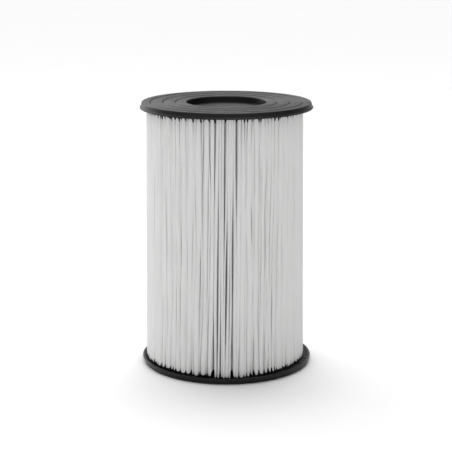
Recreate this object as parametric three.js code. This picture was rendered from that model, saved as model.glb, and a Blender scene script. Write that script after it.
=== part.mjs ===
// Pleated filter cartridge for a pool or spa filter tank. Millimetres, +Z up.
// The origin is the centre of the face that the cartridge stands on: the bottom cap's outer face.
import * as THREE from 'three';
import { mergeVertices } from 'three/addons/utils/BufferGeometryUtils.js';

// ---------- Driving dimensions ----------
const OVERALL_HEIGHT = 340;
const OUTLET_RADIUS = 50.8; // the nominal 4 inch opening, and the recess in the closed cap
const FACE_RADIUS = 107.5; // flat outer face of a cap
const LIP_RADIUS = 109.8; // thin lip at the inner end of a cap's bevelled rim
const PACK_TOP_RADIUS = 98.5; // over the pleat tips, under the top cap
const PACK_BOTTOM_RADIUS = 102; // over the pleat tips, above the bottom cap
const PLEATS = 140;
const GAP = 0.3; // clearance between neighbouring pieces

// ---------- End caps ----------
const CAP_PLATE = 2.4; // thickness of the flat plate and of the recess floor
const RIM_DEPTH = 8; // from the outer face to the inner edge of the rim
const LIP_DEPTH = 6.2; // from the outer face to the start of the lip
const LIP_CORNER = 0.6; // small bevel on the lip's inner edge
const BEVEL_RADIUS = 108.7; // where the bevelled rim meets the lip
const RIM_INNER_RADIUS = 107;
const COLLAR_RADIUS = OUTLET_RADIUS + CAP_PLATE; // outside of the collar that centres the core
const RECESS_DEPTH = 8;
const COLLAR_DEPTH = RECESS_DEPTH + CAP_PLATE;
const GROOVE_RADII = [64.5, 80.5, 96.5];
const GROOVE_HALF_WIDTH = 0.8;
const GROOVE_DEPTH = 0.9;
const ROUND_STEPS = 48; // facets round a turned piece

// ---------- Core ----------
const CORE_CLEARANCE = 0.8; // round a cap's collar, so that the faceted walls don't meet
const CORE_INNER_RADIUS = COLLAR_RADIUS + CORE_CLEARANCE;
const CORE_WALL = 3.6;
const CORE_OUTER_RADIUS = CORE_INNER_RADIUS + CORE_WALL;
const CORE_SECTIONS = 3;
const SPIGOT_HEIGHT = 5;
const END_RING = 9; // solid ring at each end of a core section
const WINDOW_ROWS = 3;
const WINDOWS_ROUND = 12;
const HOOP_HEIGHT = 6; // solid ring between two rows of windows
const BAR_ANGLE = THREE.MathUtils.degToRad(7); // upright bar between two windows

// ---------- Potting and media ----------
const POTTING_TOP = 7.2; // level of the potting above a cap's outer face
const MEDIA_THICKNESS = 0.5;
const MEDIA_INNER_RADIUS = CORE_OUTER_RADIUS + 0.9;
const TIP_HALF_WIDTH = 1.4; // half the width of an outer fold
const VALLEY_HALF_WIDTH = 0.35; // half the clear width at the bottom of a valley
const SEAM_ANGLE = -Math.PI / 2; // the seam faces the front, -Y
const SEAM_OPENING = 2; // clear width left for the seam at the inner folds
const SEAM_STRIP_THICKNESS = 1.2;
const SEAM_STRIP_DEPTH = 12; // how far the strip reaches out between the two end panels

// ---------- Materials ----------
const blackPlastic = new THREE.MeshStandardMaterial({ color: 0x2b2b2c, roughness: 0.55, metalness: 0 });
const blackPotting = new THREE.MeshStandardMaterial({ color: 0x121213, roughness: 0.75, metalness: 0 });
const corePlastic = new THREE.MeshStandardMaterial({ color: 0x1d1d1f, roughness: 0.5, metalness: 0 });
const whitePolyester = new THREE.MeshStandardMaterial({ color: 0xe4e4e2, roughness: 0.95, metalness: 0 });
const seamBond = new THREE.MeshStandardMaterial({ color: 0xd8d6cc, roughness: 0.6, metalness: 0 });

// Turns an outline of [radius, height] points, listed anticlockwise, about the Z axis.
function turned(outline) {
  const points = outline.map(([radius, height]) => new THREE.Vector2(radius, height));
  return new THREE.LatheGeometry(points, ROUND_STEPS).rotateX(Math.PI / 2);
}

// The outer face of a cap, from the opening to the edge, with its V-shaped grooves.
function groovedFace() {
  const grooves = GROOVE_RADII.flatMap((radius) => [
    [radius - GROOVE_HALF_WIDTH, 0],
    [radius, GROOVE_DEPTH],
    [radius + GROOVE_HALF_WIDTH, 0],
  ]);
  return [[OUTLET_RADIUS, 0], ...grooves, [FACE_RADIUS, 0]];
}

// The bevelled rim, its lip, and the dish behind the face, ending at the foot of the collar.
function rimAndDish() {
  return [
    [BEVEL_RADIUS, LIP_DEPTH - LIP_CORNER],
    [LIP_RADIUS, LIP_DEPTH],
    [LIP_RADIUS, RIM_DEPTH - LIP_CORNER],
    [LIP_RADIUS - LIP_CORNER, RIM_DEPTH],
    [RIM_INNER_RADIUS, RIM_DEPTH],
    [RIM_INNER_RADIUS, CAP_PLATE],
    [COLLAR_RADIUS, CAP_PLATE],
  ];
}

// A cap lying with its outer face down on z = 0. The open one has the outlet through it.
function openCap() {
  const outline = [
    ...groovedFace(),
    ...rimAndDish(),
    [COLLAR_RADIUS, COLLAR_DEPTH],
    [OUTLET_RADIUS, COLLAR_DEPTH],
    [OUTLET_RADIUS, 0],
  ];
  return turned(outline);
}

// The closed cap has a round recess in place of the outlet.
function closedCap() {
  const outline = [
    [0, RECESS_DEPTH],
    [OUTLET_RADIUS, RECESS_DEPTH],
    ...groovedFace(),
    ...rimAndDish(),
    [COLLAR_RADIUS, COLLAR_DEPTH],
    [0, COLLAR_DEPTH],
  ];
  return turned(outline);
}

// The ring of potting in a cap's dish, between the core and the rim.
function pottingRing() {
  const inner = CORE_OUTER_RADIUS + GAP;
  const outer = RIM_INNER_RADIUS - GAP;
  const low = CAP_PLATE + GAP;
  return turned([[inner, low], [outer, low], [outer, POTTING_TOP], [inner, POTTING_TOP], [inner, low]]);
}

// The parts of the span [low, high] that the other span leaves uncovered.
function uncovered(span, other) {
  if (!span) return [];
  if (!other) return [span];
  const below = [span[0], Math.min(span[1], other[0])];
  const above = [Math.max(span[0], other[1]), span[1]];
  return [below, above].filter(([low, high]) => high > low);
}

// A tube with rows of windows. columns: {angle, open}, each reaching to the next one's angle.
// bands, from the bottom up: {bottom, top, span: [inner radius, outer radius], windows}.
function latticeTube(columns, bands) {
  const corners = [];
  const point = (radius, angle, height) => [radius * Math.cos(angle), radius * Math.sin(angle), height];
  const quad = (a, b, c, d) => corners.push(...a, ...b, ...c, ...a, ...c, ...d);
  const spanOf = (column, band) => {
    if (!band || (column.open && band.windows)) return null;
    return band.span;
  };
  const flatFaces = (from, to, height, spans, faceUp) => {
    for (const [low, high] of spans) {
      const [start, end] = faceUp ? [from, to] : [to, from];
      quad(point(low, start, height), point(high, start, height),
        point(high, end, height), point(low, end, height));
    }
  };
  columns.forEach((column, index) => {
    const next = columns[(index + 1) % columns.length];
    const previous = columns[(index + columns.length - 1) % columns.length];
    const from = column.angle;
    const to = next.angle;
    bands.forEach((band, level) => {
      const span = spanOf(column, band);
      const above = spanOf(column, bands[level + 1]);
      flatFaces(from, to, band.top, uncovered(span, above), true);
      flatFaces(from, to, band.top, uncovered(above, span), false);
      if (!span) return;
      const [inner, outer] = span;
      quad(point(outer, from, band.bottom), point(outer, to, band.bottom),
        point(outer, to, band.top), point(outer, from, band.top));
      quad(point(inner, to, band.bottom), point(inner, from, band.bottom),
        point(inner, from, band.top), point(inner, to, band.top));
      if (level === 0) flatFaces(from, to, band.bottom, [span], false);
      if (!spanOf(next, band)) {
        quad(point(outer, to, band.bottom), point(inner, to, band.bottom),
          point(inner, to, band.top), point(outer, to, band.top));
      }
      if (!spanOf(previous, band)) {
        quad(point(inner, from, band.bottom), point(outer, from, band.bottom),
          point(outer, from, band.top), point(inner, from, band.top));
      }
    });
  });
  const geometry = new THREE.BufferGeometry();
  geometry.setAttribute('position', new THREE.Float32BufferAttribute(corners, 3));
  return mergeVertices(geometry);
}

// Two open steps and one bar for each window round the core.
function coreColumns() {
  const pitch = 2 * Math.PI / WINDOWS_ROUND;
  const openStep = (pitch - BAR_ANGLE) / 2;
  const columns = [];
  for (let window = 0; window < WINDOWS_ROUND; window += 1) {
    const start = window * pitch;
    columns.push({ angle: start, open: false });
    columns.push({ angle: start + BAR_ANGLE, open: true });
    columns.push({ angle: start + BAR_ANGLE + openStep, open: true });
  }
  return columns;
}

// One moulded section of the core. A socket takes the spigot of the section below it.
function coreSection(length, { socket, spigot }) {
  const middle = CORE_INNER_RADIUS + CORE_WALL / 2;
  const full = [CORE_INNER_RADIUS, CORE_OUTER_RADIUS];
  const socketDepth = SPIGOT_HEIGHT + GAP;
  const windowHeight = (length - 2 * END_RING - (WINDOW_ROWS - 1) * HOOP_HEIGHT) / WINDOW_ROWS;
  const bands = [];
  let height = 0;
  const stack = (top, span, windows) => {
    bands.push({ bottom: height, top, span, windows });
    height = top;
  };
  if (socket) stack(socketDepth, [middle + GAP / 2, CORE_OUTER_RADIUS], false);
  stack(END_RING, full, false);
  for (let row = 0; row < WINDOW_ROWS; row += 1) {
    stack(height + windowHeight, full, true);
    stack(row < WINDOW_ROWS - 1 ? height + HOOP_HEIGHT : length, full, false);
  }
  if (spigot) stack(length + SPIGOT_HEIGHT, [CORE_INNER_RADIUS, middle - GAP / 2], false);
  return latticeTube(coreColumns(), bands);
}

// The angle from the seam to the middle of a pleat's outer fold.
function pleatAngle(pleat) {
  const seam = SEAM_OPENING / MEDIA_INNER_RADIUS;
  const pitch = (2 * Math.PI - seam) / PLEATS;
  return SEAM_ANGLE + seam / 2 + (pleat + 0.5) * pitch;
}

// The folded sheet seen from above: out along its outer side and back along its inner side.
function pleatOutline() {
  const halfPitch = (pleatAngle(1) - pleatAngle(0)) / 2;
  const tip = PACK_TOP_RADIUS;
  const fold = MEDIA_INNER_RADIUS;
  const at = (radius, angle, aside) => new THREE.Vector2(
    radius * Math.cos(angle + aside / radius),
    radius * Math.sin(angle + aside / radius),
  );
  const outerSide = [];
  const innerSide = [];
  for (let pleat = 0; pleat < PLEATS; pleat += 1) {
    const middle = pleatAngle(pleat);
    const before = middle - halfPitch;
    const after = middle + halfPitch;
    const first = pleat === 0;
    const last = pleat === PLEATS - 1;
    const innerHalf = VALLEY_HALF_WIDTH + MEDIA_THICKNESS;
    const valley = fold + MEDIA_THICKNESS;
    outerSide.push(at(first ? fold : valley, before, VALLEY_HALF_WIDTH));
    outerSide.push(at(tip, middle, -TIP_HALF_WIDTH));
    outerSide.push(at(tip, middle, TIP_HALF_WIDTH));
    outerSide.push(at(last ? fold : valley, after, -VALLEY_HALF_WIDTH));
    innerSide.push(at(fold, before, innerHalf));
    innerSide.push(at(tip - MEDIA_THICKNESS, middle, MEDIA_THICKNESS - TIP_HALF_WIDTH));
    innerSide.push(at(tip - MEDIA_THICKNESS, middle, TIP_HALF_WIDTH - MEDIA_THICKNESS));
    innerSide.push(at(fold, after, -innerHalf));
  }
  return [...outerSide, ...innerSide.reverse()];
}

// The pleated sheet, extruded upright, then spread a little towards the bottom at its outer folds.
function pleatedMedia(length) {
  const shape = new THREE.Shape(pleatOutline());
  const geometry = new THREE.ExtrudeGeometry(shape, { depth: length, bevelEnabled: false });
  const position = geometry.getAttribute('position');
  const spread = PACK_BOTTOM_RADIUS - PACK_TOP_RADIUS;
  const pleatDepth = PACK_TOP_RADIUS - MEDIA_INNER_RADIUS;
  for (let index = 0; index < position.count; index += 1) {
    const x = position.getX(index);
    const y = position.getY(index);
    const radius = Math.hypot(x, y);
    const outwards = Math.max(0, (radius - MEDIA_INNER_RADIUS) / pleatDepth);
    const downwards = 1 - position.getZ(index) / length;
    const scale = (radius + spread * outwards * downwards) / radius;
    position.setXY(index, x * scale, y * scale);
  }
  return geometry;
}

// The bonded strip between the two end panels of the sheet.
function seamStrip(length) {
  const strip = new THREE.BoxGeometry(SEAM_STRIP_DEPTH, SEAM_STRIP_THICKNESS, length);
  return strip.translate(MEDIA_INNER_RADIUS + SEAM_STRIP_DEPTH / 2, 0, length / 2).rotateZ(SEAM_ANGLE);
}

function piece(name, geometry, material, height = 0) {
  const mesh = new THREE.Mesh(geometry, material);
  mesh.name = name;
  mesh.position.z = height;
  return mesh;
}

// A cap with its potting, built face down and turned over for the top of the cartridge.
function capAssembly(side, capGeometry) {
  const assembly = new THREE.Group();
  assembly.add(piece(`${side}_end_cap`, capGeometry, blackPlastic));
  assembly.add(piece(`${side}_potting_ring`, pottingRing(), blackPotting));
  return assembly;
}

// The core's sections, plugged together from the bottom up.
function coreAssembly() {
  const assembly = new THREE.Group();
  const foot = CAP_PLATE + GAP;
  const length = (OVERALL_HEIGHT - 2 * foot - (CORE_SECTIONS - 1) * GAP) / CORE_SECTIONS;
  const names = ['core_section_bottom', 'core_section_middle', 'core_section_top'];
  names.forEach((name, index) => {
    const ends = { socket: index > 0, spigot: index < CORE_SECTIONS - 1 };
    assembly.add(piece(name, coreSection(length, ends), corePlastic, foot + index * (length + GAP)));
  });
  return assembly;
}

function cartridge() {
  const bottomCap = capAssembly('bottom', openCap());
  const topCap = capAssembly('top', closedCap());
  topCap.rotation.x = Math.PI;
  topCap.position.z = OVERALL_HEIGHT;
  const mediaFoot = POTTING_TOP + GAP;
  const mediaLength = OVERALL_HEIGHT - 2 * mediaFoot;
  const group = new THREE.Group();
  group.add(bottomCap, topCap, coreAssembly());
  group.add(piece('pleated_media', pleatedMedia(mediaLength), whitePolyester, mediaFoot));
  group.add(piece('side_seam_strip', seamStrip(mediaLength), seamBond, mediaFoot));
  return group;
}

export default cartridge();
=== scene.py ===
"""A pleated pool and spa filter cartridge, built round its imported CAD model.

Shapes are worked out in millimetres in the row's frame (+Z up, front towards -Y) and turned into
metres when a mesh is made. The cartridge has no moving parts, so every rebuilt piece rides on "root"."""

import math

import bpy
import numpy as np
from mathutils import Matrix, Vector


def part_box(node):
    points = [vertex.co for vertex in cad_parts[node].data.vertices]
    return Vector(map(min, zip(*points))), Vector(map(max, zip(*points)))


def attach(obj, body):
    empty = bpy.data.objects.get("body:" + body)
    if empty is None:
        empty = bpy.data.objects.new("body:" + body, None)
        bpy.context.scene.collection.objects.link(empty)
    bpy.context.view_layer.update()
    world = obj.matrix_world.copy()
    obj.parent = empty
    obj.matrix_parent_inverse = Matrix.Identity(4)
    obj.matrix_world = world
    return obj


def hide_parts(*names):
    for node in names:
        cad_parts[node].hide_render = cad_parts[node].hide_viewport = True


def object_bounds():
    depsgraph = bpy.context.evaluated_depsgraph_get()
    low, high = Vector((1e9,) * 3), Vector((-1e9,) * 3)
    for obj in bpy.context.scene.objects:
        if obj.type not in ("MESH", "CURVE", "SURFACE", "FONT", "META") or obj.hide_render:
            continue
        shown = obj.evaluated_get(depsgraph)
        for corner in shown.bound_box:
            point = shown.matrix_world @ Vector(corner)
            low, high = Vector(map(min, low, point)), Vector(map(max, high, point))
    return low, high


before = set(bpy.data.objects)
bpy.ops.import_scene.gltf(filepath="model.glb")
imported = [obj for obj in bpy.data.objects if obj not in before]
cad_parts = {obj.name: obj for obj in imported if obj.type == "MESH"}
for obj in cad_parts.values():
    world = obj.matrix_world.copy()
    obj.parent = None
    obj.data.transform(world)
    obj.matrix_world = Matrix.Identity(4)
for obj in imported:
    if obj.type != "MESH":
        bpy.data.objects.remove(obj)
cad_low, cad_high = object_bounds()

MM = 0.001
rng = np.random.default_rng(27)

# ---------- Sizes taken from the CAD model, in millimetres ----------
_, cap_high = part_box("bottom_end_cap")
media_low, media_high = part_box("pleated_media")
potting_low, potting_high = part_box("bottom_potting_ring")
strip_low, strip_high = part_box("side_seam_strip")
_, core_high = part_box("core_section_middle")

HEIGHT = cad_high.z / MM
LIP_RADIUS = cap_high.x / MM
COLLAR_DEPTH = cap_high.z / MM
POTTING_FOOT = potting_low.z / MM
POTTING_LEVEL = potting_high.z / MM - 1.2  # poured to just below the rim
POTTING_RADIUS = potting_high.x / MM
PACK_BOTTOM_RADIUS = media_high.x / MM
MEDIA_FOOT = media_low.z / MM
CORE_OUTER_RADIUS = core_high.x / MM

# ---------- End caps ----------
CAP_PLATE = 2.4
OUTLET_RADIUS = 50.8
FACE_RADIUS = LIP_RADIUS - 2.3
BEVEL_RADIUS = LIP_RADIUS - 1.1
RIM_INNER_RADIUS = POTTING_RADIUS + 0.3
RIM_DEPTH = 7.4
LIP_DEPTH = 5.7
COLLAR_RADIUS = OUTLET_RADIUS + CAP_PLATE
RECESS_DEPTH = COLLAR_DEPTH - CAP_PLATE
GROOVE_RADII = (64.5, 80.5, 96.5)
GROOVE_HALF_WIDTH = 1.2
GROOVE_DEPTH = 1.6
CAP_SEGMENTS = 256

# ---------- Pleated sheet ----------
PLEATS = 140
SHEET = 0.5  # thickness of the sheet
FULLNESS = 0.9  # how far the fullest pleats stand out of the CAD model's even ones
PACK_TOP_RADIUS = 98.5
PACK_OFFSET = 2.1  # how far the pack stands out towards -X
LINE_RADIUS = 100.0  # the radius that distances along the pack's surface are measured at
FOLD_RADIUS = CORE_OUTER_RADIUS + 0.9  # of the inner folds, round the core
FOLD_HALF_GAP = 0.35
BELLY_DEPTH = 7.5  # how far below the surface the pleats touch their neighbours
BELLY_DEEPENING = 0.7  # how much deeper that is for each millimetre of gap between them
BELLY_HALF_GAP = 0.12
SEAM_GAP = 2.0  # between the two end panels, at the inner folds
BURIED = 2.8  # how far the sheet's edges reach into the potting
LEAST_WIDTH = 0.6  # of a pleat's outer fold
HIDDEN_SHARE = 0.42  # of the pleats, which lie further in and show only where their neighbours part
HIDDEN_DEPTH = (1.4, 3.0)
FOLD_ROUNDNESS = (1.7, 3.2)  # the power that an outer fold's sides fall away with
SHOULDER_DEPTHS = (0.15, 6.0)  # how far its sides fall, at the least, and more beside a clear gap
END_SPREADS = (4.8, 3.4)  # how far pleats may part at the potting, at the foot and at the head
GATHERING = 0.42  # how far neighbours close over a recessed pleat, as a share of the spacing
TIP_STEPS = 8  # facets across an outer fold
ACROSS = np.sin(np.linspace(-1, 1, TIP_STEPS + 1) * math.pi / 2)  # where its points lie across it
# A pleat's outer side has a point in each valley, two on its flanks and TIP_STEPS + 1 on its fold.
# Its inner side has points behind these ones only:
MATCHED = (0, 1, 2, 2 + TIP_STEPS // 2, 2 + TIP_STEPS, 3 + TIP_STEPS, 4 + TIP_STEPS)
FRONT_LEAN = 4.5  # how far the pleats beside the seam lean outwards at the foot, inwards at the head
LEAN_PLACE = 30.0  # how far from the seam they lean most

# The pleats round the seam are bunched, with open gaps between them. For each gap: its place along
# the surface from the middle of the front, at the head and at the foot, and then where it opens:
# the height of the widest point, the width there, and how far above and below it stays open.
SEAM_GAPS = (
    (-14, -17, ((320, 1.5, 60), (0, 4, 60))),
    (-9, -12, ((110, 2.5, 90),)),
    (-6, -8, ((0, 2, 60),)),
    (-1, -5, ((320, 3.5, 110),)),
    (2.5, -2, ((120, 2.5, 60),)),
    (6, 2.5, ((90, 0.7, 60),)),
    (9, 6.5, ((160, 2.5, 60), (0, 4.5, 60))),
    (12.5, 11.5, ((320, 4, 80),)),
    (18.5, 15, ((320, 0.7, 40), (0, 1, 60))),
)
CLOSED_GAP = 0.1  # clear width of such a gap away from its openings
GAPS_BEFORE_SEAM = 4  # how many of those gaps lie to the left of the sheet's own seam
SPREAD_PLEATS = 20  # the pleats beside the bunch that take up its offset

# How high the sheet is painted black above the potting's level, as wicked-up potting and as painted
# shade between the pleats and beside the gaps:
SOAK_AND_SHADE_TIPS = (0.0, 1.8)  # on the outer folds
SOAK_AND_SHADE_EDGES = (2.5, 6.5)  # beside the gaps
SOAK_AND_SHADE_FLANKS = 9.0  # between the pleats
SOAK_AND_SHADE_VALLEYS = 11.0  # at the inner folds
SIDE_RISE = (2.8, 2.4)  # how much higher on the folds and beside the gaps, away from the seam
SIDE_ANGLE = 0.7  # from the seam, where that is reached

# ---------- Light ----------
# Each glow of the surround: azimuth, elevation, sharpness, strength
GLOWS = (
    (180, 50, 6, 1.5),
    (-135, 15, 8, 1.4),
    (0, 88, 6, 1.2),
    (-135, 50, 6, 0.7),
    *((azimuth, 15, 8, 0.5) for azimuth in (-45, 0, 45)),
)

# ---------- Camera ----------
CAMERA_PLACE = (-0.6, -1737.0, 577.0)
CAMERA_PITCH = 12.935  # degrees below the horizon
CAMERA_LENS = 109.8


# ====================  Shape helpers  ====================

def mesh_piece(name, points, faces, sharp_angle=40.0):
    """A shaded mesh object from points in millimetres."""
    mesh = bpy.data.meshes.new(name)
    mesh.from_pydata((np.asarray(points) * MM).tolist(), [], faces)
    mesh.validate()
    mesh.shade_smooth()
    mesh.set_sharp_from_angle(angle=math.radians(sharp_angle))
    piece = bpy.data.objects.new(name, mesh)
    bpy.context.scene.collection.objects.link(piece)
    return piece


def finish_piece(piece, material, slot, *nodes):
    """Gives a piece its material and puts it in the place of its CAD nodes."""
    piece.data.materials.append(material)
    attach(piece, "root")
    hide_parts(*nodes)


def rounded(outline, steps=3):
    """An outline of (radius, height, corner radius) points with its corners turned into arcs."""
    points = []
    count = len(outline)
    for index, (x, y, corner) in enumerate(outline):
        here = np.array([x, y])
        if corner == 0:
            points.append(here)
            continue
        back = np.array(outline[index - 1][:2]) - here
        ahead = np.array(outline[(index + 1) % count][:2]) - here
        cut_back = min(corner, 0.45 * np.linalg.norm(back)) * back / np.linalg.norm(back)
        cut_ahead = min(corner, 0.45 * np.linalg.norm(ahead)) * ahead / np.linalg.norm(ahead)
        for t in np.linspace(0, 1, steps + 1):
            points.append(here + (1 - t) ** 2 * cut_back + t ** 2 * cut_ahead)
    return points


def turned(outline, segments, closed):
    """Points and faces of an anticlockwise (radius, height) outline turned about the Z axis."""
    angles = np.linspace(0, 2 * math.pi, segments, endpoint=False)
    points, rings = [], []
    for radius, height in outline:
        start = len(points)
        if radius < 1e-6:
            points.append((0.0, 0.0, height))
            rings.append([start] * segments)
            continue
        points.extend((radius * math.cos(a), radius * math.sin(a), height) for a in angles)
        rings.append(list(range(start, start + segments)))
    pairs = list(zip(rings, rings[1:] + rings[:1]))
    faces = []
    for ring, following in pairs if closed else pairs[:-1]:
        for step in range(segments):
            after = (step + 1) % segments
            corners = (ring[step], ring[after], following[after], following[step])
            faces.append(tuple(dict.fromkeys(corners)))
    return np.array(points), faces


def ripples(angles, heights, turns, lengths, count=10):
    """Smooth random values of about -1 to 1 that close on themselves round the pack."""
    total = np.zeros(np.broadcast(angles, heights).shape)
    for _ in range(count):
        around = rng.integers(turns[0], turns[1] + 1)
        along = rng.choice([-1, 1]) * 2 * math.pi / rng.uniform(*lengths)
        total += np.cos(around * angles + along * heights + rng.uniform(0, 2 * math.pi))
    return total / math.sqrt(2 * count)


def wanderings(count, heights, lengths, waves=3):
    """Random curves over the heights, one for each row of the result, about -1 to 1."""
    total = np.zeros((count, len(heights)))
    for _ in range(waves):
        along = 2 * math.pi / rng.uniform(*lengths, (count, 1))
        total += np.cos(along * heights + rng.uniform(0, 2 * math.pi, (count, 1)))
    return total / math.sqrt(2 * waves)


# ====================  The pleated sheet  ====================

def sheet_heights():
    """Heights of the sheet's rows of points, closer together near its ends."""
    low = MEDIA_FOOT - BURIED
    near = low + np.array([0, 2.6, 5.0, 8.0, 12.0, 17.5, 25.0])
    high = HEIGHT - near[::-1]
    return np.concatenate([near, np.linspace(near[-1], high[0], 22)[1:-1], high])


def fold_angles():
    """Angles of the inner folds that lie between the pleats, counted from the front."""
    seam = SEAM_GAP / FOLD_RADIUS
    return seam / 2 + np.arange(PLEATS + 1) * (2 * math.pi - seam) / PLEATS


def seam_indices():
    """Which gaps of the whole pack the listed ones are; the sheet's seam is both 0 and PLEATS."""
    return [(index - GAPS_BEFORE_SEAM) % PLEATS for index in range(len(SEAM_GAPS))]


def hidden_pleats():
    """Which pleats lie further in: a random choice, no two side by side and none at the seam."""
    hidden = np.zeros(PLEATS, bool)
    pleat = len(SEAM_GAPS) - GAPS_BEFORE_SEAM
    while pleat < PLEATS - GAPS_BEFORE_SEAM - 1:
        hidden[pleat] = rng.random() < HIDDEN_SHARE / (1 - HIDDEN_SHARE)
        pleat += 2 if hidden[pleat] else 1
    return hidden


def loose_lines(heights, hidden, parted):
    """Where the gaps between the pleats would run without the bunch at the seam."""
    angles = fold_angles()[:, None]
    even = angles * LINE_RADIUS
    aside = np.where(angles < math.pi, angles, angles - 2 * math.pi) * LINE_RADIUS / LEAN_PLACE
    lean = aside * np.exp(0.5 * (1 - aside ** 2)) * np.cos(math.pi * (1 - heights / HEIGHT))
    lines = even - FRONT_LEAN * lean + 1.6 * ripples(angles, heights, (5, 16), (400, 900))
    lines = lines + 0.3 * rng.normal(size=angles.shape)
    lines = lines + 0.5 * wanderings(PLEATS + 1, heights, (250, 600))
    closing = GATHERING * (even[1] - even[0]) * (1 - parted)
    closing[~hidden] = 0
    lines[:-1] += closing
    lines[1:] -= closing
    return lines


def gap_lines(heights, hidden, parted):
    """Where each gap between two pleats runs: distances along the surface, by gap and height."""
    around = 2 * math.pi * LINE_RADIUS
    lines = loose_lines(heights, hidden, parted)
    indices = seam_indices()
    chosen = [foot + (head - foot) * heights / HEIGHT for head, foot, _ in SEAM_GAPS]
    last, first = indices[-1], indices[0]
    gap_numbers = np.arange(PLEATS + 1)[:, None]
    after = np.clip(1 - (gap_numbers - last) / SPREAD_PLEATS, 0, 1)
    before = np.clip(1 - (first - gap_numbers) / SPREAD_PLEATS, 0, 1)
    lines = lines + after * (chosen[-1] - lines[last]) + before * (chosen[0] + around - lines[first])
    for index, places in zip(indices, chosen):
        lines[index] = places if index <= last else places + around
    lines[PLEATS] = lines[0] + around
    return kept_apart(lines, [*indices, PLEATS])


def kept_apart(lines, fixed):
    """Moves lines that run too close, or cross, away from each other. The fixed ones stay."""
    for _ in range(60):
        short = np.maximum(0, LEAST_WIDTH - np.diff(lines, axis=0)) / 2
        push = np.zeros_like(lines)
        push[:-1] -= short
        push[1:] += short
        push[fixed] = 0
        lines += push
    return lines


def seam_openings(heights):
    """Clear widths of the hand-set gaps over the heights."""
    return [
        CLOSED_GAP + sum(width * np.exp(-(((heights - at) / reach) ** 2)) for at, width, reach in opens)
        for _, _, opens in SEAM_GAPS
    ]


def liveliness(angles):
    """How uneven the pleats are, 0 to 1: less so on the two sides, where they lie close together."""
    from_front = np.abs((angles + math.pi) % (2 * math.pi) - math.pi)
    return 1 - 0.93 * np.exp(-(((from_front - 1.3) / 0.55) ** 2))


def gap_strengths(heights):
    """How clearly each gap shows, 0 to 1, by gap and height. Two pleats run together at 0."""
    strength = 0.45 + 0.15 * rng.normal(size=(PLEATS + 1, 1))
    strength = strength + 0.55 * wanderings(PLEATS + 1, heights, (90, 240))
    strength = np.clip(strength, 0, 1) * liveliness(fold_angles()[:, None])
    for index, openings in zip(seam_indices(), seam_openings(heights)):
        strength[index] = 0.1 + 0.7 * np.clip(openings / 1.5, 0, 1)
    strength[PLEATS] = strength[0]
    return strength


def gap_widths(heights, strength, lines):
    """Clear width of each gap at the outer folds, by gap and height."""
    widths = 0.02 + 0.12 * strength ** 4
    lively = 0.75 + 0.25 * liveliness(fold_angles()[:, None])
    from_foot = np.maximum(0, heights - POTTING_LEVEL)
    from_head = np.maximum(0, HEIGHT - POTTING_LEVEL - heights)
    for from_end, widest in zip((from_foot, from_head), END_SPREADS):
        spread = widest * lively * rng.uniform(0.1, 1, (PLEATS + 1, 1)) ** 1.3
        reach = rng.uniform(4, 14, (PLEATS + 1, 1))
        widths = widths + spread * np.exp(-from_end / reach)
    for index, openings in zip(seam_indices(), seam_openings(heights)):
        widths[index] = openings
    widths[PLEATS] = widths[0]
    space = np.diff(lines, axis=0)
    narrower = np.minimum(space, np.roll(space, 1, axis=0))
    return np.minimum(widths, 0.8 * np.concatenate([narrower, narrower[:1]]))


def tip_radii(angles, heights):
    """Radius of the outer folds: the pack widens downwards and stands out towards -X."""
    downwards = 1 - (heights - MEDIA_FOOT) / (HEIGHT - 2 * MEDIA_FOOT)
    radius = PACK_TOP_RADIUS + (PACK_BOTTOM_RADIUS - PACK_TOP_RADIUS) * downwards
    return radius + FULLNESS - PACK_OFFSET * np.sin(angles)


def fold_recesses(heights, hidden, parted):
    """How far each outer fold lies inside the fullest ones, by pleat and height."""
    from_end = np.maximum(0, np.minimum(heights, HEIGHT - heights) - POTTING_LEVEL)
    recess = np.abs(0.5 * rng.normal(size=(PLEATS, 1)) + 0.8 * wanderings(PLEATS, heights, (140, 360)))
    recess[hidden] += parted[hidden] ** 2 * rng.uniform(*HIDDEN_DEPTH, (np.count_nonzero(hidden), 1))
    recess = recess * liveliness(fold_angles()[:-1, None])
    return recess + rng.uniform(0.3, 1.6, (PLEATS, 1)) * np.exp(-from_end / 3)


def outer_folds(heights, tip, middle, half, strength):
    """The rounded outer folds: radii and angles by pleat, point across the fold and height."""
    half_width = half * LINE_RADIUS
    tilt = 0.16 * rng.normal(size=(PLEATS, 1)) + 0.14 * wanderings(PLEATS, heights, (110, 320))
    tilt = liveliness(fold_angles()[:-1, None]) * tilt
    roundness = rng.uniform(*FOLD_ROUNDNESS, (PLEATS, 1, 1))
    share = 0.5 + 0.35 * wanderings(PLEATS + 1, heights, (150, 400)).clip(-1, 1)
    share[[*seam_indices(), PLEATS]] = 0.3
    least, more = SHOULDER_DEPTHS
    before = least + more * strength * share
    after = least + more * strength * (1 - share)
    across = ACROSS[:, None]
    shoulder = np.where(across < 0, after[:-1, None], before[1:, None])
    shoulder = np.minimum(shoulder, 1.6 * half_width[:, None])
    radii = tip[:, None] - shoulder * np.abs(across) ** roundness
    radii = radii + (tilt * half_width)[:, None] * across
    return radii, middle[:, None] + across * half[:, None]


def valleys(heights):
    """The feet of each pleat's left and right panels, at the inner folds, as (radii, angles)."""
    folds = fold_angles()
    clear = FOLD_HALF_GAP / FOLD_RADIUS
    left_angles = (folds[:-1] + clear)[:, None] + 0 * heights
    right_angles = (folds[1:] - clear)[:, None] + 0 * heights
    left_radii = np.full_like(left_angles, FOLD_RADIUS + SHEET)
    right_radii = left_radii.copy()
    left_radii[0] = right_radii[-1] = FOLD_RADIUS
    return (left_radii, left_angles), (right_radii, right_angles)


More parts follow.
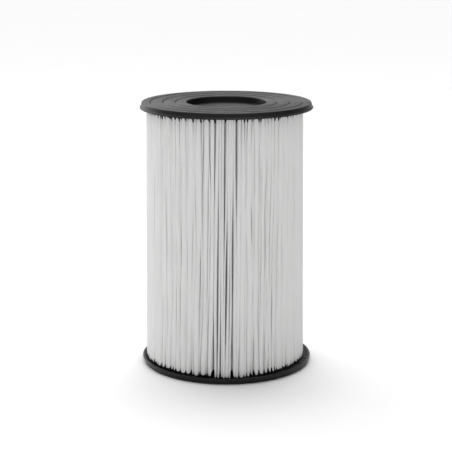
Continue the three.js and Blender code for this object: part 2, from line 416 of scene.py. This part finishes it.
def bellies(heights, lines, widths):
    """Where neighbouring pleats touch, below their outer folds: radii and angles by gap and height."""
    gap_angle = lines / LINE_RADIUS
    radii = tip_radii(gap_angle, heights) - BELLY_DEPTH - BELLY_DEEPENING * widths
    outwards = (radii - FOLD_RADIUS) / (LINE_RADIUS - FOLD_RADIUS)
    return radii, outwards * gap_angle + (1 - outwards) * fold_angles()[:, None]


def inner_side(outer_radii, outer_angles, middle):
    """The sheet's other side: points one thickness behind the MATCHED ones of its outer side."""
    inwards = np.array([1, 1, 1, 0, -1, -1, -1])[None, :, None]
    radii = outer_radii[:, MATCHED].copy()
    radii[:, [0, 6]] = FOLD_RADIUS
    radii[:, 3] -= SHEET
    radii[:, [2, 4]] = np.minimum(radii[:, [2, 4]], radii[:, 3:4] - 0.2)
    angles = outer_angles[:, MATCHED] + inwards * SHEET / radii
    close = 0.08 / LINE_RADIUS
    angles[:, [2]] = np.minimum(angles[:, [2]], middle[:, None] - close)
    angles[:, [4]] = np.maximum(angles[:, [4]], middle[:, None] + close)
    return radii, angles


def soak_and_shade_heights(heights):
    """How high each pleat's outer side is painted black: wicked-up potting and painted shade."""
    folds = fold_angles()
    sideways = np.minimum(1, np.minimum(folds, 2 * math.pi - folds) / SIDE_ANGLE)[:, None]
    on_tip = rng.uniform(*SOAK_AND_SHADE_TIPS, (PLEATS, 1)) + SIDE_RISE[0] * sideways[:-1]
    beside = rng.uniform(*SOAK_AND_SHADE_EDGES, (PLEATS + 1, 1)) + SIDE_RISE[1] * sideways
    # Painted shade as well as potting: the black rises higher beside the seam's gaps the wider they
    # open, and highest on the flanks and at the inner folds.
    for index, openings in zip(seam_indices(), seam_openings(heights)):
        beside[index] = 3 + openings[0]
    beside[PLEATS] = beside[0]
    edge = np.where(ACROSS < 0, beside[:-1], beside[1:])
    soak_and_shade = np.full((PLEATS, TIP_STEPS + 5), SOAK_AND_SHADE_VALLEYS)
    soak_and_shade[:, 2:-2] = on_tip + (edge - on_tip) * np.abs(ACROSS) ** 5
    soak_and_shade[:, [1, -2]] = SOAK_AND_SHADE_FLANKS
    return soak_and_shade


def sheet_outlines(heights):
    """The folded sheet's outer and inner sides as (radii, angles) by pleat, point and height, with
    how high the outer side is painted black (wicked-up potting and painted shade) and where the gaps
    run."""
    hidden = hidden_pleats()
    parted = np.clip(0.5 + 0.8 * wanderings(PLEATS, heights, (120, 300)), 0, 1)
    lines = gap_lines(heights, hidden, parted)
    strength = gap_strengths(heights)
    widths = gap_widths(heights, strength, lines)
    left = (lines[:-1] + widths[:-1] / 2) / LINE_RADIUS
    right = (lines[1:] - widths[1:] / 2) / LINE_RADIUS
    middle, half = (left + right) / 2, (right - left) / 2
    tip = tip_radii(middle, heights) - fold_recesses(heights, hidden, parted)
    fold_radii, fold_turns = outer_folds(heights, tip, middle, half, strength)
    (left_radii, left_angles), (right_radii, right_angles) = valleys(heights)
    belly_radii, belly_angles = bellies(heights, lines, widths)
    clear = BELLY_HALF_GAP / belly_radii
    outer_radii = np.concatenate([
        left_radii[:, None], belly_radii[:-1, None],
        fold_radii,
        belly_radii[1:, None], right_radii[:, None],
    ], axis=1)
    outer_angles = np.concatenate([
        left_angles[:, None], (belly_angles + clear)[:-1, None],
        fold_turns,
        (belly_angles - clear)[1:, None], right_angles[:, None],
    ], axis=1)
    inner = inner_side(outer_radii, outer_angles, middle)
    return (outer_radii, outer_angles), inner, soak_and_shade_heights(heights), lines


def round_points(radii, angles, heights):
    """Points in millimetres from radii and angles from the front, by column and height."""
    columns = radii.reshape(-1, len(heights))
    turns = angles.reshape(-1, len(heights))
    tall = np.broadcast_to(heights, columns.shape)
    return np.stack([columns * np.sin(turns), -columns * np.cos(turns), tall], axis=-1)


def build_pleated_media():
    """The whole folded sheet as one closed thin mesh. Returns it with its gap lines."""
    heights = sheet_heights()
    outer, inner, soak_and_shade, lines = sheet_outlines(heights)
    outside = round_points(*outer, heights)
    inside = round_points(*inner, heights)
    rows = len(heights)
    outer_columns, inner_columns = len(outside), len(inside)
    per_outer, per_inner = outer_columns // PLEATS, inner_columns // PLEATS
    out = np.arange(outer_columns * rows).reshape(outer_columns, rows)
    into = out.size + np.arange(inner_columns * rows).reshape(inner_columns, rows)

    def strips(first, second):
        """Quads between each column of points and the next one."""
        corners = (first[:, :-1], second[:, :-1], second[:, 1:], first[:, 1:])
        return np.stack([c.ravel() for c in corners], axis=1).tolist()

    faces = strips(out[:-1], out[1:]) + strips(into[1:], into[:-1])
    faces += strips(into[:1], out[:1]) + strips(out[-1:], into[-1:])
    for row, bottom in ((0, True), (rows - 1, False)):
        for pleat in range(PLEATS):
            spans = [
                (list(range(a, b + 1)), [k + 1, k])
                for k, (a, b) in enumerate(zip(MATCHED, MATCHED[1:]))
            ]
            if pleat < PLEATS - 1:
                spans.append(([per_outer - 1, per_outer], [per_inner, per_inner - 1]))
            for outside_points, inside_points in spans:
                face = [int(out[pleat * per_outer + k, row]) for k in outside_points]
                face += [int(into[pleat * per_inner + k, row]) for k in inside_points]
                faces.append(face[::-1] if bottom else face)

    points = np.concatenate([outside.reshape(-1, 3), inside.reshape(-1, 3)])
    media = mesh_piece("pleated_media_sheet", points, faces, sharp_angle=60)
    steps = np.linalg.norm(np.diff(outside[:, rows // 2], axis=0), axis=1)
    along = np.concatenate([[0], np.cumsum(steps)])
    inner_soak_and_shade = np.full(inner_columns, SOAK_AND_SHADE_FLANKS)
    inner_along = along[(np.arange(PLEATS)[:, None] * per_outer + MATCHED).ravel()]
    values = {
        "soak_and_shade": np.concatenate([soak_and_shade.ravel(), inner_soak_and_shade]),
        "along": np.concatenate([along, inner_along]),
    }
    for name, column_values in values.items():
        attribute = media.data.attributes.new(name, "FLOAT", "POINT")
        attribute.data.foreach_set("value", np.repeat(column_values, rows).astype(np.float32))
    return media, lines


# ====================  Caps, potting, core and seam strip  ====================

def grooved_face():
    """A cap's outer face from the opening to the edge, with its shallow grooves."""
    face = [(OUTLET_RADIUS, 0, 1.4)]
    for radius in GROOVE_RADII:
        face.append((radius - GROOVE_HALF_WIDTH, 0, 0.3))
        face.append((radius, GROOVE_DEPTH, 0.3))
        face.append((radius + GROOVE_HALF_WIDTH, 0, 0.3))
    return [*face, (FACE_RADIUS, 0, 0.9)]


def rim_and_dish():
    """The bevelled rim, its thin lip, and the dish behind the face, to the foot of the collar."""
    return [
        (BEVEL_RADIUS, LIP_DEPTH - 0.6, 0.5),
        (LIP_RADIUS, LIP_DEPTH, 0.35),
        (LIP_RADIUS, RIM_DEPTH, 0.6),
        (RIM_INNER_RADIUS, RIM_DEPTH, 0.3),
        (RIM_INNER_RADIUS, CAP_PLATE, 0.4),
        (COLLAR_RADIUS, CAP_PLATE, 0.4),
        (COLLAR_RADIUS, COLLAR_DEPTH, 0.5),
    ]


def turned_over(points):
    """Turns points over for the top of the cartridge."""
    return points * [1, -1, -1] + [0, 0, HEIGHT]


def build_bottom_cap():
    outline = rounded([*grooved_face(), *rim_and_dish(), (OUTLET_RADIUS, COLLAR_DEPTH, 0.6)])
    points, faces = turned(outline, CAP_SEGMENTS, closed=True)
    return mesh_piece("bottom_end_cap_moulding", points, faces)


def build_top_cap():
    outline = [(0, RECESS_DEPTH, 0), (OUTLET_RADIUS, RECESS_DEPTH, 0.8)]
    outline = rounded([*outline, *grooved_face(), *rim_and_dish(), (0, COLLAR_DEPTH, 0)])
    points, faces = turned(outline, CAP_SEGMENTS, closed=False)
    return mesh_piece("top_end_cap_moulding", turned_over(points), faces)


def build_potting(name, line_row, over):
    """A ring of poured potting that creeps up the rim and between the pleats."""
    inner = CORE_OUTER_RADIUS + 0.3
    radii = np.array([inner, 64, 74, 84, 90, 94, 96.5, 98.5, 100.5, 102.5, 104.5, 105.8, POTTING_RADIUS])
    gaps = line_row[:-1] / LINE_RADIUS
    widths = np.diff(line_row) / LINE_RADIUS
    angles = (gaps[:, None] + widths[:, None] * np.array([0, 0.22, 0.5, 0.78])).ravel()
    teeth = np.zeros((PLEATS, 4))
    teeth[:, 0] = rng.uniform(0.8, 5.0, PLEATS)
    between = np.interp(radii, [80, 90, 97, 100], [0.4, 1, 1, 0])
    climb = 0.55 * np.exp(-(POTTING_RADIUS - radii) / 0.9)
    level = POTTING_LEVEL - 0.35 + climb + 0.3 * rng.normal(size=(angles.size, 1)) * (radii > 98)
    level = level + 0.3 * ripples(angles[:, None], radii, (8, 60), (4, 16))
    level = level + teeth.ravel()[:, None] * between
    columns = np.concatenate([
        np.full((angles.size, 1), POTTING_FOOT), level, np.full((angles.size, 1), POTTING_FOOT),
    ], axis=1)
    radii = np.concatenate([radii[:1], radii, radii[-1:]])
    x = radii * np.sin(angles)[:, None]
    y = -radii * np.cos(angles)[:, None]
    points = np.stack([x, y, columns], axis=-1).reshape(-1, 3)
    rings = len(radii)
    faces = []
    for step in range(angles.size):
        here, after = step * rings, (step + 1) % angles.size * rings
        for ring in range(rings):
            following = (ring + 1) % rings
            faces.append((here + ring, here + following, after + following, after + ring))
    if over:
        points = turned_over(points * [1, -1, 1])
        faces = [face[::-1] for face in faces]
    return mesh_piece(name, points, faces, sharp_angle=50)


def build_seam_strip():
    """The bonded strip between the sheet's two end panels: a thin bar, slightly wavy."""
    low, high = np.array(strip_low) / MM, np.array(strip_high) / MM
    heights = np.linspace(low[2], high[2], 60)
    left, right, front, back = low[0], high[0], low[1], high[1]
    profile = rounded([(left, front, 0.4), (right, front, 0.4), (right, back, 0.4), (left, back, 0.4)])
    sway = 0.15 * wanderings(1, heights, (20, 70), waves=5)[0]
    swell = 1 - 0.12 * wanderings(1, heights, (8, 30), waves=6)[0] ** 2
    count = len(profile)
    points = []
    for row, height in enumerate(heights):
        points.extend((x * swell[row] + sway[row], y, height) for x, y in profile)
    faces = []
    for row in range(len(heights) - 1):
        for k in range(count):
            after = (k + 1) % count
            base = row * count
            faces.append((base + k, base + after, base + count + after, base + count + k))
    last = (len(heights) - 1) * count
    faces.append(tuple(range(count))[::-1])
    faces.append(tuple(range(last, last + count)))
    return mesh_piece("side_seam_bond", points, faces)


# ====================  Materials  ====================

def new_material(name):
    """A material with an empty Principled shader. Returns it, its tree and the shader."""
    material = bpy.data.materials.new(name)
    material.use_nodes = True
    tree = material.node_tree
    return material, tree, tree.nodes["Principled BSDF"]


def add_node(tree, kind, values=None, **settings):
    """Adds a node. values go to its inputs by name or number; a socket among them is linked."""
    node = tree.nodes.new(kind)
    for name, value in settings.items():
        setattr(node, name, value)
    for key, value in (values or {}).items():
        if isinstance(value, bpy.types.NodeSocket):
            tree.links.new(value, node.inputs[key])
        else:
            node.inputs[key].default_value = value
    return node


def millimetres(tree):
    """A socket with the object coordinates in millimetres."""
    place = add_node(tree, "ShaderNodeTexCoord").outputs["Object"]
    scaled = add_node(tree, "ShaderNodeVectorMath", {0: place, "Scale": 1 / MM}, operation="SCALE")
    return scaled.outputs[0]


def noise(tree, where, size, detail=3.0, roughness=0.5):
    """Noise from 0 to 1 with features of about that size, in the unit of where."""
    values = {"Vector": where, "Scale": 1 / size, "Detail": detail, "Roughness": roughness}
    return add_node(tree, "ShaderNodeTexNoise", values).outputs["Fac"]


def ramp(tree, value, low, high, to_low=0.0, to_high=1.0):
    """Maps low..high smoothly to to_low..to_high."""
    values = {"Value": value, 1: low, 2: high, 3: to_low, 4: to_high}
    return add_node(tree, "ShaderNodeMapRange", values, interpolation_type="SMOOTHSTEP").outputs[0]


def calculate(tree, operation, first, second):
    """A math node's result."""
    return add_node(tree, "ShaderNodeMath", {0: first, 1: second}, operation=operation).outputs[0]


def blend_colours(tree, amount, first, second):
    """A colour between two, by an amount from 0 to 1."""
    values = {0: amount, 6: first, 7: second}
    return add_node(tree, "ShaderNodeMix", values, data_type="RGBA").outputs[2]


def bump(tree, height, distance, strength=1.0, under=None):
    """A normal socket for a height from 0 to 1; distance is the full relief in millimetres."""
    values = {"Height": height, "Distance": distance * MM, "Strength": strength}
    if under is not None:
        values["Normal"] = under
    return add_node(tree, "ShaderNodeBump", values).outputs["Normal"]


def grey(value, warmth=0.0):
    """A grey as a colour, a little warmer above zero."""
    return (value * (1 + warmth), value, value * (1 - warmth), 1.0)


def moulded_plastic(name, shade, roughness):
    """Black satin moulded plastic: fine grain, a little pale dust and scuffing, and an uneven gloss
    drawn out round the cartridge's axis, as very fine turned rings in the mould leave it."""
    material, tree, shader = new_material(name)
    where = millimetres(tree)
    patches = noise(tree, where, 14, 2)
    dust = noise(tree, where, 3.5, 6, 0.7)
    scuffs = calculate(tree, "MULTIPLY", ramp(tree, dust, 0.56, 0.78), ramp(tree, patches, 0.4, 0.7))
    shader.inputs["Specular IOR Level"].default_value = 0.26
    tree.links.new(
        blend_colours(tree, scuffs, grey(shade), grey(shade * 2.6)), shader.inputs["Base Color"]
    )
    gloss = ramp(tree, patches, 0.3, 0.7, roughness - 0.04, roughness + 0.05)
    tree.links.new(gloss, shader.inputs["Roughness"])
    shader.inputs["Anisotropic"].default_value = 0.75
    shader.inputs["Anisotropic Rotation"].default_value = 0.25
    tangent = add_node(tree, "ShaderNodeTangent", direction_type="RADIAL", axis="Z")
    tree.links.new(tangent.outputs[0], shader.inputs["Tangent"])
    grain = bump(tree, noise(tree, where, 0.35, 2), 0.012)
    sinks = bump(tree, noise(tree, where, 22, 1), 0.12, under=grain)
    tree.links.new(sinks, shader.inputs["Normal"])
    return material


def poured_potting(name):
    """Black cast potting: lumpy, with small pits and a dull, uneven gloss."""
    material, tree, shader = new_material(name)
    where = millimetres(tree)
    lumps = noise(tree, where, 2.2, 4, 0.6)
    tree.links.new(
        blend_colours(tree, lumps, grey(0.006), grey(0.014)), shader.inputs["Base Color"]
    )
    tree.links.new(ramp(tree, lumps, 0.3, 0.7, 0.5, 0.8), shader.inputs["Roughness"])
    tree.links.new(bump(tree, lumps, 0.5), shader.inputs["Normal"])
    return material


def bonded_polyester(name):
    """White spun-bonded sheet: fine fibres, small bond points, and black at its ends: wicked-up potting
    and painted shade.
    """
    material, tree, shader = new_material(name)
    where = millimetres(tree)
    separate = add_node(tree, "ShaderNodeSeparateXYZ", {0: where})
    along = add_node(tree, "ShaderNodeAttribute", attribute_name="along").outputs["Fac"]
    flat = add_node(tree, "ShaderNodeCombineXYZ", {0: along, 1: separate.outputs[2]}).outputs[0]
    fibres = noise(tree, flat, 0.5, 5, 0.65)
    points = add_node(
        tree, "ShaderNodeTexVoronoi", {"Vector": flat, "Scale": 1 / 1.6, "Randomness": 0.35}
    )
    dimples = ramp(tree, points.outputs["Distance"], 0.12, 0.34)
    cloud = noise(tree, where, 35, 3)
    clean = blend_colours(tree, cloud, grey(0.80, 0.003), grey(0.86, 0.003))
    fibrous = blend_colours(tree, ramp(tree, fibres, 0.35, 0.7, 0.0, 0.25), clean, grey(0.72, 0.004))

    height = separate.outputs[2]
    above = calculate(tree, "SUBTRACT", height, POTTING_LEVEL)
    below = calculate(tree, "SUBTRACT", HEIGHT - POTTING_LEVEL, height)
    from_end = calculate(tree, "MINIMUM", above, below)
    soak_and_shade = add_node(tree, "ShaderNodeAttribute", attribute_name="soak_and_shade").outputs["Fac"]
    ragged = calculate(tree, "SUBTRACT", noise(tree, where, 1.2, 3), 0.5)
    ragged = calculate(tree, "MULTIPLY", ragged, 2.4)
    edge = calculate(tree, "ADD", soak_and_shade, ragged)
    dry_and_lit = ramp(tree, calculate(tree, "SUBTRACT", from_end, edge), -0.5, 0.5)
    # Painted shade: under that height the sheet is painted black, partly as wicked-up potting, partly as
    # the shade between the pleats and in the gaps.
    tree.links.new(blend_colours(tree, dry_and_lit, grey(0.008), fibrous), shader.inputs["Base Color"])
    shader.inputs["Roughness"].default_value = 0.95
    shader.inputs["Specular IOR Level"].default_value = 0.25
    weave = bump(tree, fibres, 0.05)
    tree.links.new(bump(tree, dimples, 0.05, under=weave), shader.inputs["Normal"])
    return material


def hot_melt(name):
    """Dull off-white hot-melt bond with a slightly lumpy surface."""
    material, tree, shader = new_material(name)
    where = millimetres(tree)
    lumps = noise(tree, where, 3, 3)
    tree.links.new(
        blend_colours(tree, lumps, grey(0.62, 0.04), grey(0.74, 0.06)), shader.inputs["Base Color"]
    )
    tree.links.new(ramp(tree, lumps, 0.3, 0.7, 0.4, 0.6), shader.inputs["Roughness"])
    tree.links.new(bump(tree, lumps, 0.15), shader.inputs["Normal"])
    return material


def pale_floor():
    """A plain white matt floor."""
    material, tree, shader = new_material("studio_floor_white")
    where = millimetres(tree)
    tree.links.new(
        blend_colours(tree, noise(tree, where, 400, 2), grey(0.95), grey(0.97)),
        shader.inputs["Base Color"],
    )
    shader.inputs["Roughness"].default_value = 0.9
    shader.inputs["Specular IOR Level"].default_value = 0.1
    return material


# ====================  Stage  ====================

def build_floor():
    """A wide plain floor just under the cartridge."""
    mesh = bpy.data.meshes.new("studio_floor")
    half_side, level = 30.0, -0.2 * MM
    corners = [(half_side * x, half_side * y) for x, y in ((-1, -1), (1, -1), (1, 1), (-1, 1))]
    mesh.from_pydata([(x, y, level) for x, y in corners], [], [(0, 1, 2, 3)])
    mesh.materials.append(pale_floor())
    floor = bpy.data.objects.new("studio_floor", mesh)
    bpy.context.scene.collection.objects.link(floor)


def direction(azimuth, elevation):
    """A unit vector from the cartridge. Azimuth 0 is the front, 90 the right; both in degrees."""
    a, e = math.radians(azimuth), math.radians(elevation)
    return (math.sin(a) * math.cos(e), -math.cos(a) * math.cos(e), math.sin(e))


def build_world():
    """A pale surround: broad soft glows, mostly from above and behind."""
    world = bpy.data.worlds.new("studio_surround")
    bpy.context.scene.world = world
    world.use_nodes = True
    tree = world.node_tree
    looking = add_node(tree, "ShaderNodeTexCoord").outputs["Generated"]
    total = 0.0
    for azimuth, elevation, sharpness, strength in GLOWS:
        centre = {0: looking, 1: direction(azimuth, elevation)}
        facing = add_node(tree, "ShaderNodeVectorMath", centre, operation="DOT_PRODUCT").outputs["Value"]
        falloff = calculate(tree, "MULTIPLY", calculate(tree, "SUBTRACT", facing, 1.0), sharpness)
        glow = calculate(tree, "MULTIPLY", calculate(tree, "EXPONENT", falloff, 0.0), strength)
        total = calculate(tree, "ADD", glow, total)
    tree.links.new(total, tree.nodes["Background"].inputs["Strength"])
    tree.nodes["Background"].inputs["Color"].default_value = (1, 1, 1, 1)


def soft_light(name, azimuth, elevation, distance, width, height, power):
    """An area light that faces the cartridge's middle. Azimuth 0 is the front, 90 the right."""
    light = bpy.data.lights.new(name, "AREA")
    light.shape = "RECTANGLE"
    light.size, light.size_y = width, height
    light.energy = power
    lamp = bpy.data.objects.new(name, light)
    out = np.array(direction(azimuth, elevation))
    lamp.location = out * distance + np.array([0, 0, HEIGHT / 2 * MM])
    lamp.rotation_euler = (math.radians(90 - elevation), 0, math.radians(azimuth))
    bpy.context.scene.collection.objects.link(lamp)


def build_camera():
    """The camera at the photograph's viewing angle."""
    camera = bpy.data.cameras.new("view_camera")
    camera.lens = CAMERA_LENS
    camera.sensor_width = 36
    viewer = bpy.data.objects.new("view_camera", camera)
    viewer.location = [value * MM for value in CAMERA_PLACE]
    viewer.rotation_euler = (math.radians(90 - CAMERA_PITCH), 0, 0)
    bpy.context.scene.collection.objects.link(viewer)
    bpy.context.scene.camera = viewer


# ====================  Assembly  ====================

def dress_core():
    """The core's CAD sections keep their shape, with softened edges and a moulded finish."""
    plastic = moulded_plastic("core_black_plastic", 0.018, 0.42)
    for name in ("core_section_bottom", "core_section_middle", "core_section_top"):
        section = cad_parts[name]
        weld = section.modifiers.new("weld", "WELD")
        weld.merge_threshold = 0.00002
        bevel = section.modifiers.new("soft_edges", "BEVEL")
        bevel.width = 0.0005
        bevel.segments = 2
        bevel.limit_method = "ANGLE"
        bevel.angle_limit = math.radians(40)
        section.data.materials.clear()
        section.data.materials.append(plastic)


def build_cartridge():
    cap_plastic = moulded_plastic("cap_black_plastic", 0.007, 0.38)
    finish_piece(build_bottom_cap(), cap_plastic, "cap_plastic", "bottom_end_cap")
    finish_piece(build_top_cap(), cap_plastic, "cap_plastic", "top_end_cap")
    media, lines = build_pleated_media()
    finish_piece(media, bonded_polyester("white_polyester"), "filter_media", "pleated_media")
    potting = poured_potting("black_potting")
    foot = build_potting("bottom_potting", lines[:, 0], over=False)
    finish_piece(foot, potting, "potting", "bottom_potting_ring")
    head = build_potting("top_potting", lines[:, -1], over=True)
    finish_piece(head, potting, "potting", "top_potting_ring")
    finish_piece(build_seam_strip(), hot_melt("seam_hot_melt"), "seam_bond", "side_seam_strip")
    dress_core()


def build_studio():
    build_floor()
    build_world()
    soft_light("soft_key", 165, 74, 2.6, 0.9, 0.9, 13)
    build_camera()
    bpy.context.scene.view_settings.view_transform = "Standard"


build_cartridge()
build_studio()
